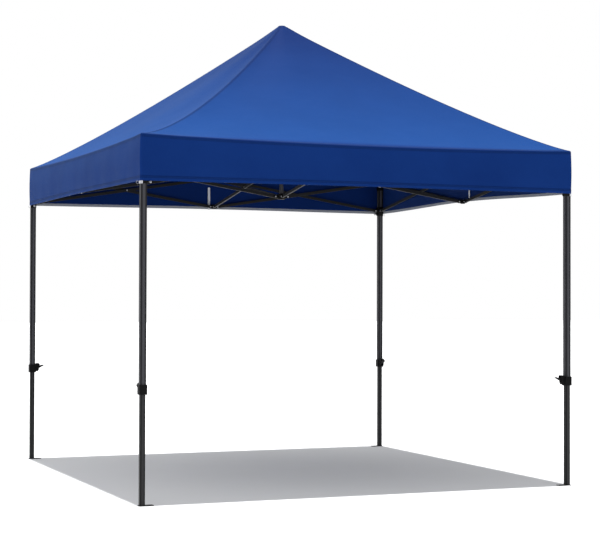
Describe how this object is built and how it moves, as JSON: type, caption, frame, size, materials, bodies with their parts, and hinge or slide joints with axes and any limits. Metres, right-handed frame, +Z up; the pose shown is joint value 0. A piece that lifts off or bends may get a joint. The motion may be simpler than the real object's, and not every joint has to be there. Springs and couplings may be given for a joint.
{
  "type": "pop up canopy",
  "caption": "Open pop up canopy with a square fabric roof and valance, telescoping legs, folding scissor bars round the sides and across the middle, sliding brackets and a centre pole.",
  "frame": {"origin": "on the ground under the middle of the roof", "axes": "+X to the right along the front, +Y to the back, +Z up"},
  "size_m": [3.01, 3.01, 3.2192],
  "materials": {
    "black_plastic": "satin",
    "lever_plastic": "satin",
    "canopy_fabric": "matte",
    "centre_pole_metal": "satin",
    "peak_rod_metal": "satin",
    "bar_steel": "satin",
    "leg_steel": "satin",
    "inner_leg_steel": "satin",
    "pin_steel": "satin"
  },
  "bodies": {
    "head": {"upper_hub": "black_plastic", "canopy_cover": "canopy_fabric"},
    "front_high_peak_bar": {"front_high_peak_bar": "bar_steel"},
    "right_high_peak_bar": {"right_high_peak_bar": "bar_steel"},
    "back_high_peak_bar": {"back_high_peak_bar": "bar_steel"},
    "left_high_peak_bar": {"left_high_peak_bar": "bar_steel"},
    "front_lower_connector": {"front_lower_connector": "black_plastic"},
    "front_low_peak_bar": {"front_low_peak_bar": "bar_steel"},
    "front_left_down_bar": {"front_left_down_bar": "bar_steel"},
    "front_left_up_bar": {"front_left_up_bar": "bar_steel"},
    "front_right_down_bar": {"front_right_down_bar": "bar_steel"},
    "front_right_up_bar": {"front_right_up_bar": "bar_steel"},
    "front_left_leg": {"front_left_leg": "leg_steel", "front_left_brackets": "black_plastic"},
    "front_left_slider": {"front_left_slider": "black_plastic"},
    "front_upper_connector": {"front_upper_connector": "black_plastic"},
    "front_left_inner_leg": {"front_left_inner_leg": "inner_leg_steel"},
    "front_left_clamp_lever": {"front_left_clamp_lever": "lever_plastic"},
    "front_left_latch_pin": {"front_left_latch_pin": "pin_steel"},
    "right_lower_connector": {"right_lower_connector": "black_plastic"},
    "right_low_peak_bar": {"right_low_peak_bar": "bar_steel"},
    "right_left_down_bar": {"right_left_down_bar": "bar_steel"},
    "right_left_up_bar": {"right_left_up_bar": "bar_steel"},
    "right_right_down_bar": {"right_right_down_bar": "bar_steel"},
    "right_right_up_bar": {"right_right_up_bar": "bar_steel"},
    "front_right_leg": {"front_right_leg": "leg_steel", "front_right_brackets": "black_plastic"},
    "front_right_slider": {"front_right_slider": "black_plastic"},
    "right_upper_connector": {"right_upper_connector": "black_plastic"},
    "front_right_inner_leg": {"front_right_inner_leg": "inner_leg_steel"},
    "front_right_clamp_lever": {"front_right_clamp_lever": "lever_plastic"},
    "front_right_latch_pin": {"front_right_latch_pin": "pin_steel"},
    "back_lower_connector": {"back_lower_connector": "black_plastic"},
    "back_low_peak_bar": {"back_low_peak_bar": "bar_steel"},
    "back_left_down_bar": {"back_left_down_bar": "bar_steel"},
    "back_left_up_bar": {"back_left_up_bar": "bar_steel"},
    "back_right_down_bar": {"back_right_down_bar": "bar_steel"},
    "back_right_up_bar": {"back_right_up_bar": "bar_steel"},
    "back_right_leg": {"back_right_leg": "leg_steel", "back_right_brackets": "black_plastic"},
    "back_right_slider": {"back_right_slider": "black_plastic"},
    "back_upper_connector": {"back_upper_connector": "black_plastic"},
    "back_right_inner_leg": {"back_right_inner_leg": "inner_leg_steel"},
    "back_right_clamp_lever": {"back_right_clamp_lever": "lever_plastic"},
    "back_right_latch_pin": {"back_right_latch_pin": "pin_steel"},
    "left_lower_connector": {"left_lower_connector": "black_plastic"},
    "left_low_peak_bar": {"left_low_peak_bar": "bar_steel"},
    "left_left_down_bar": {"left_left_down_bar": "bar_steel"},
    "left_left_up_bar": {"left_left_up_bar": "bar_steel"},
    "left_right_down_bar": {"left_right_down_bar": "bar_steel"},
    "left_right_up_bar": {"left_right_up_bar": "bar_steel"},
    "back_left_leg": {"back_left_leg": "leg_steel", "back_left_brackets": "black_plastic"},
    "back_left_slider": {"back_left_slider": "black_plastic"},
    "left_upper_connector": {"left_upper_connector": "black_plastic"},
    "back_left_inner_leg": {"back_left_inner_leg": "inner_leg_steel"},
    "back_left_clamp_lever": {"back_left_clamp_lever": "lever_plastic"},
    "back_left_latch_pin": {"back_left_latch_pin": "pin_steel"},
    "lower_hub": {"lower_hub": "centre_pole_metal"},
    "peak_rod": {"peak_rod": "peak_rod_metal"}
  },
  "joints": [
    {"name": "fold", "type": "hinge", "parent": "head", "child": "front_high_peak_bar", "pos_m": [0.0065, -0.045, 2.205], "axis": [1, 0, 0], "range_deg": [0, 74.5]},
    {"name": "right_high_bar_turn", "type": "hinge", "parent": "head", "child": "right_high_peak_bar", "pos_m": [0.045, 0.0065, 2.205], "axis": [0, 1, 0], "range_deg": [0, 74.5]},
    {"name": "back_high_bar_turn", "type": "hinge", "parent": "head", "child": "back_high_peak_bar", "pos_m": [-0.0065, 0.045, 2.205], "axis": [-1, 0, 0], "range_deg": [0, 74.5]},
    {"name": "left_high_bar_turn", "type": "hinge", "parent": "head", "child": "left_high_peak_bar", "pos_m": [-0.045, -0.0065, 2.205], "axis": [0, -1, 0], "range_deg": [0, 74.5]},
    {"name": "front_lower_connector_turn", "type": "hinge", "parent": "front_high_peak_bar", "child": "front_lower_connector", "pos_m": [0.0065, -1.45, 1.98], "axis": [-1, 0, 0], "range_deg": [0, 74.5]},
    {"name": "front_peak_bar_crossing", "type": "hinge", "parent": "front_high_peak_bar", "child": "front_low_peak_bar", "pos_m": [-0.0065, -0.7475, 2.0925], "axis": [-1, 0, 0], "range_deg": [0, 149]},
    {"name": "front_left_down_bar_turn", "type": "hinge", "parent": "front_lower_connector", "child": "front_left_down_bar", "pos_m": [-0.03, -1.4865, 1.98], "axis": [0, 1, 0], "range_deg": [0, 74.5]},
    {"name": "front_left_bar_crossing", "type": "hinge", "parent": "front_left_down_bar", "child": "front_left_up_bar", "pos_m": [-0.7325, -1.48, 2.0925], "axis": [0, -1, 0], "range_deg": [0, 149]},
    {"name": "front_right_down_bar_turn", "type": "hinge", "parent": "front_lower_connector", "child": "front_right_down_bar", "pos_m": [0.03, -1.4865, 1.98], "axis": [0, -1, 0], "range_deg": [0, 74.5]},
    {"name": "front_right_bar_crossing", "type": "hinge", "parent": "front_right_down_bar", "child": "front_right_up_bar", "pos_m": [0.7325, -1.48, 2.0925], "axis": [0, 1, 0], "range_deg": [0, 149]},
    {"name": "front_left_leg_turn", "type": "hinge", "parent": "front_left_down_bar", "child": "front_left_leg", "pos_m": [-1.435, -1.4865, 2.205], "axis": [0, -1, 0], "range_deg": [0, 74.5]},
    {"name": "front_left_slider_turn", "type": "hinge", "parent": "front_left_up_bar", "child": "front_left_slider", "pos_m": [-1.435, -1.4735, 1.98], "axis": [0, 1, 0], "range_deg": [0, 74.5]},
    {"name": "front_upper_connector_turn", "type": "hinge", "parent": "front_left_up_bar", "child": "front_upper_connector", "pos_m": [-0.03, -1.4735, 2.205], "axis": [0, 1, 0], "range_deg": [0, 74.5]},
    {"name": "front_left_height", "type": "slide", "parent": "front_left_leg", "child": "front_left_inner_leg", "axis": [0, 0, 1], "range_m": [0, 0.62]},
    {"name": "front_left_lever", "type": "hinge", "parent": "front_left_leg", "child": "front_left_clamp_lever", "pos_m": [-1.48, -1.44, 0.704], "axis": [1, 0, 0], "range_deg": [0, 28], "stiffness_Nm_per_rad": 0.8, "springref_deg": -17.19},
    {"name": "front_left_latch", "type": "slide", "parent": "front_left_slider", "child": "front_left_latch_pin", "axis": [1, 0, 0], "range_m": [-0.006, 0]},
    {"name": "right_lower_connector_turn", "type": "hinge", "parent": "right_high_peak_bar", "child": "right_lower_connector", "pos_m": [1.45, 0.0065, 1.98], "axis": [0, -1, 0], "range_deg": [0, 74.5]},
    {"name": "right_peak_bar_crossing", "type": "hinge", "parent": "right_high_peak_bar", "child": "right_low_peak_bar", "pos_m": [0.7475, -0.0065, 2.0925], "axis": [0, -1, 0], "range_deg": [0, 149]},
    {"name": "right_left_down_bar_turn", "type": "hinge", "parent": "right_lower_connector", "child": "right_left_down_bar", "pos_m": [1.4865, -0.03, 1.98], "axis": [-1, 0, 0], "range_deg": [0, 74.5]},
    {"name": "right_left_bar_crossing", "type": "hinge", "parent": "right_left_down_bar", "child": "right_left_up_bar", "pos_m": [1.48, -0.7325, 2.0925], "axis": [1, 0, 0], "range_deg": [0, 149]},
    {"name": "right_right_down_bar_turn", "type": "hinge", "parent": "right_lower_connector", "child": "right_right_down_bar", "pos_m": [1.4865, 0.03, 1.98], "axis": [1, 0, 0], "range_deg": [0, 74.5]},
    {"name": "right_right_bar_crossing", "type": "hinge", "parent": "right_right_down_bar", "child": "right_right_up_bar", "pos_m": [1.48, 0.7325, 2.0925], "axis": [-1, 0, 0], "range_deg": [0, 149]},
    {"name": "front_right_leg_turn", "type": "hinge", "parent": "right_left_down_bar", "child": "front_right_leg", "pos_m": [1.4865, -1.435, 2.205], "axis": [1, 0, 0], "range_deg": [0, 74.5]},
    {"name": "front_right_slider_turn", "type": "hinge", "parent": "right_left_up_bar", "child": "front_right_slider", "pos_m": [1.4735, -1.435, 1.98], "axis": [-1, 0, 0], "range_deg": [0, 74.5]},
    {"name": "right_upper_connector_turn", "type": "hinge", "parent": "right_left_up_bar", "child": "right_upper_connector", "pos_m": [1.4735, -0.03, 2.205], "axis": [-1, 0, 0], "range_deg": [0, 74.5]},
    {"name": "front_right_height", "type": "slide", "parent": "front_right_leg", "child": "front_right_inner_leg", "axis": [0, 0, 1], "range_m": [0, 0.62]},
    {"name": "front_right_lever", "type": "hinge", "parent": "front_right_leg", "child": "front_right_clamp_lever", "pos_m": [1.44, -1.48, 0.704], "axis": [0, 1, 0], "range_deg": [0, 28], "stiffness_Nm_per_rad": 0.8, "springref_deg": -17.19},
    {"name": "front_right_latch", "type": "slide", "parent": "front_right_slider", "child": "front_right_latch_pin", "axis": [0, 1, 0], "range_m": [-0.006, 0]},
    {"name": "back_lower_connector_turn", "type": "hinge", "parent": "back_high_peak_bar", "child": "back_lower_connector", "pos_m": [-0.0065, 1.45, 1.98], "axis": [1, 0, 0], "range_deg": [0, 74.5]},
    {"name": "back_peak_bar_crossing", "type": "hinge", "parent": "back_high_peak_bar", "child": "back_low_peak_bar", "pos_m": [0.0065, 0.7475, 2.0925], "axis": [1, 0, 0], "range_deg": [0, 149]},
    {"name": "back_left_down_bar_turn", "type": "hinge", "parent": "back_lower_connector", "child": "back_left_down_bar", "pos_m": [0.03, 1.4865, 1.98], "axis": [0, -1, 0], "range_deg": [0, 74.5]},
    {"name": "back_left_bar_crossing", "type": "hinge", "parent": "back_left_down_bar", "child": "back_left_up_bar", "pos_m": [0.7325, 1.48, 2.0925], "axis": [0, 1, 0], "range_deg": [0, 149]},
    {"name": "back_right_down_bar_turn", "type": "hinge", "parent": "back_lower_connector", "child": "back_right_down_bar", "pos_m": [-0.03, 1.4865, 1.98], "axis": [0, 1, 0], "range_deg": [0, 74.5]},
    {"name": "back_right_bar_crossing", "type": "hinge", "parent": "back_right_down_bar", "child": "back_right_up_bar", "pos_m": [-0.7325, 1.48, 2.0925], "axis": [0, -1, 0], "range_deg": [0, 149]},
    {"name": "back_right_leg_turn", "type": "hinge", "parent": "back_left_down_bar", "child": "back_right_leg", "pos_m": [1.435, 1.4865, 2.205], "axis": [0, 1, 0], "range_deg": [0, 74.5]},
    {"name": "back_right_slider_turn", "type": "hinge", "parent": "back_left_up_bar", "child": "back_right_slider", "pos_m": [1.435, 1.4735, 1.98], "axis": [0, -1, 0], "range_deg": [0, 74.5]},
    {"name": "back_upper_connector_turn", "type": "hinge", "parent": "back_left_up_bar", "child": "back_upper_connector", "pos_m": [0.03, 1.4735, 2.205], "axis": [0, -1, 0], "range_deg": [0, 74.5]},
    {"name": "back_right_height", "type": "slide", "parent": "back_right_leg", "child": "back_right_inner_leg", "axis": [0, 0, 1], "range_m": [0, 0.62]},
    {"name": "back_right_lever", "type": "hinge", "parent": "back_right_leg", "child": "back_right_clamp_lever", "pos_m": [1.48, 1.44, 0.704], "axis": [-1, 0, 0], "range_deg": [0, 28], "stiffness_Nm_per_rad": 0.8, "springref_deg": -17.19},
    {"name": "back_right_latch", "type": "slide", "parent": "back_right_slider", "child": "back_right_latch_pin", "axis": [-1, 0, 0], "range_m": [-0.006, 0]},
    {"name": "left_lower_connector_turn", "type": "hinge", "parent": "left_high_peak_bar", "child": "left_lower_connector", "pos_m": [-1.45, -0.0065, 1.98], "axis": [0, 1, 0], "range_deg": [0, 74.5]},
    {"name": "left_peak_bar_crossing", "type": "hinge", "parent": "left_high_peak_bar", "child": "left_low_peak_bar", "pos_m": [-0.7475, 0.0065, 2.0925], "axis": [0, 1, 0], "range_deg": [0, 149]},
    {"name": "left_left_down_bar_turn", "type": "hinge", "parent": "left_lower_connector", "child": "left_left_down_bar", "pos_m": [-1.4865, 0.03, 1.98], "axis": [1, 0, 0], "range_deg": [0, 74.5]},
    {"name": "left_left_bar_crossing", "type": "hinge", "parent": "left_left_down_bar", "child": "left_left_up_bar", "pos_m": [-1.48, 0.7325, 2.0925], "axis": [-1, 0, 0], "range_deg": [0, 149]},
    {"name": "left_right_down_bar_turn", "type": "hinge", "parent": "left_lower_connector", "child": "left_right_down_bar", "pos_m": [-1.4865, -0.03, 1.98], "axis": [-1, 0, 0], "range_deg": [0, 74.5]},
    {"name": "left_right_bar_crossing", "type": "hinge", "parent": "left_right_down_bar", "child": "left_right_up_bar", "pos_m": [-1.48, -0.7325, 2.0925], "axis": [1, 0, 0], "range_deg": [0, 149]},
    {"name": "back_left_leg_turn", "type": "hinge", "parent": "left_left_down_bar", "child": "back_left_leg", "pos_m": [-1.4865, 1.435, 2.205], "axis": [-1, 0, 0], "range_deg": [0, 74.5]},
    {"name": "back_left_slider_turn", "type": "hinge", "parent": "left_left_up_bar", "child": "back_left_slider", "pos_m": [-1.4735, 1.435, 1.98], "axis": [1, 0, 0], "range_deg": [0, 74.5]},
    {"name": "left_upper_connector_turn", "type": "hinge", "parent": "left_left_up_bar", "child": "left_upper_connector", "pos_m": [-1.4735, 0.03, 2.205], "axis": [1, 0, 0], "range_deg": [0, 74.5]},
    {"name": "back_left_height", "type": "slide", "parent": "back_left_leg", "child": "back_left_inner_leg", "axis": [0, 0, 1], "range_m": [0, 0.62]},
    {"name": "back_left_lever", "type": "hinge", "parent": "back_left_leg", "child": "back_left_clamp_lever", "pos_m": [-1.44, 1.48, 0.704], "axis": [0, -1, 0], "range_deg": [0, 28], "stiffness_Nm_per_rad": 0.8, "springref_deg": -17.19},
    {"name": "back_left_latch", "type": "slide", "parent": "back_left_slider", "child": "back_left_latch_pin", "axis": [0, -1, 0], "range_m": [-0.006, 0]},
    {"name": "lower_hub_turn", "type": "hinge", "parent": "front_low_peak_bar", "child": "lower_hub", "pos_m": [-0.0065, -0.045, 1.98], "axis": [1, 0, 0], "range_deg": [0, 74.5]},
    {"name": "peak_rod_slide", "type": "slide", "parent": "lower_hub", "child": "peak_rod", "axis": [0, 0, 1], "range_m": [0, 0.27]}
  ],
  "couplings": [
    {"joint": "right_high_bar_turn", "follows": "fold", "ratio": 1},
    {"joint": "back_high_bar_turn", "follows": "fold", "ratio": 1},
    {"joint": "left_high_bar_turn", "follows": "fold", "ratio": 1},
    {"joint": "front_lower_connector_turn", "follows": "fold", "ratio": 1},
    {"joint": "front_peak_bar_crossing", "follows": "fold", "ratio": 2},
    {"joint": "front_left_down_bar_turn", "follows": "fold", "ratio": 1},
    {"joint": "front_left_bar_crossing", "follows": "fold", "ratio": 2},
    {"joint": "front_right_down_bar_turn", "follows": "fold", "ratio": 1},
    {"joint": "front_right_bar_crossing", "follows": "fold", "ratio": 2},
    {"joint": "front_left_leg_turn", "follows": "fold", "ratio": 1},
    {"joint": "front_left_slider_turn", "follows": "fold", "ratio": 1},
    {"joint": "front_upper_connector_turn", "follows": "fold", "ratio": 1},
    {"joint": "right_lower_connector_turn", "follows": "fold", "ratio": 1},
    {"joint": "right_peak_bar_crossing", "follows": "fold", "ratio": 2},
    {"joint": "right_left_down_bar_turn", "follows": "fold", "ratio": 1},
    {"joint": "right_left_bar_crossing", "follows": "fold", "ratio": 2},
    {"joint": "right_right_down_bar_turn", "follows": "fold", "ratio": 1},
    {"joint": "right_right_bar_crossing", "follows": "fold", "ratio": 2},
    {"joint": "front_right_leg_turn", "follows": "fold", "ratio": 1},
    {"joint": "front_right_slider_turn", "follows": "fold", "ratio": 1},
    {"joint": "right_upper_connector_turn", "follows": "fold", "ratio": 1},
    {"joint": "back_lower_connector_turn", "follows": "fold", "ratio": 1},
    {"joint": "back_peak_bar_crossing", "follows": "fold", "ratio": 2},
    {"joint": "back_left_down_bar_turn", "follows": "fold", "ratio": 1},
    {"joint": "back_left_bar_crossing", "follows": "fold", "ratio": 2},
    {"joint": "back_right_down_bar_turn", "follows": "fold", "ratio": 1},
    {"joint": "back_right_bar_crossing", "follows": "fold", "ratio": 2},
    {"joint": "back_right_leg_turn", "follows": "fold", "ratio": 1},
    {"joint": "back_right_slider_turn", "follows": "fold", "ratio": 1},
    {"joint": "back_upper_connector_turn", "follows": "fold", "ratio": 1},
    {"joint": "left_lower_connector_turn", "follows": "fold", "ratio": 1},
    {"joint": "left_peak_bar_crossing", "follows": "fold", "ratio": 2},
    {"joint": "left_left_down_bar_turn", "follows": "fold", "ratio": 1},
    {"joint": "left_left_bar_crossing", "follows": "fold", "ratio": 2},
    {"joint": "left_right_down_bar_turn", "follows": "fold", "ratio": 1},
    {"joint": "left_right_bar_crossing", "follows": "fold", "ratio": 2},
    {"joint": "back_left_leg_turn", "follows": "fold", "ratio": 1},
    {"joint": "back_left_slider_turn", "follows": "fold", "ratio": 1},
    {"joint": "left_upper_connector_turn", "follows": "fold", "ratio": 1},
    {"joint": "lower_hub_turn", "follows": "fold", "ratio": 1},
    {"joint": "peak_rod_slide", "follows": "fold", "m_per_rad": 0.20763}
  ]
}
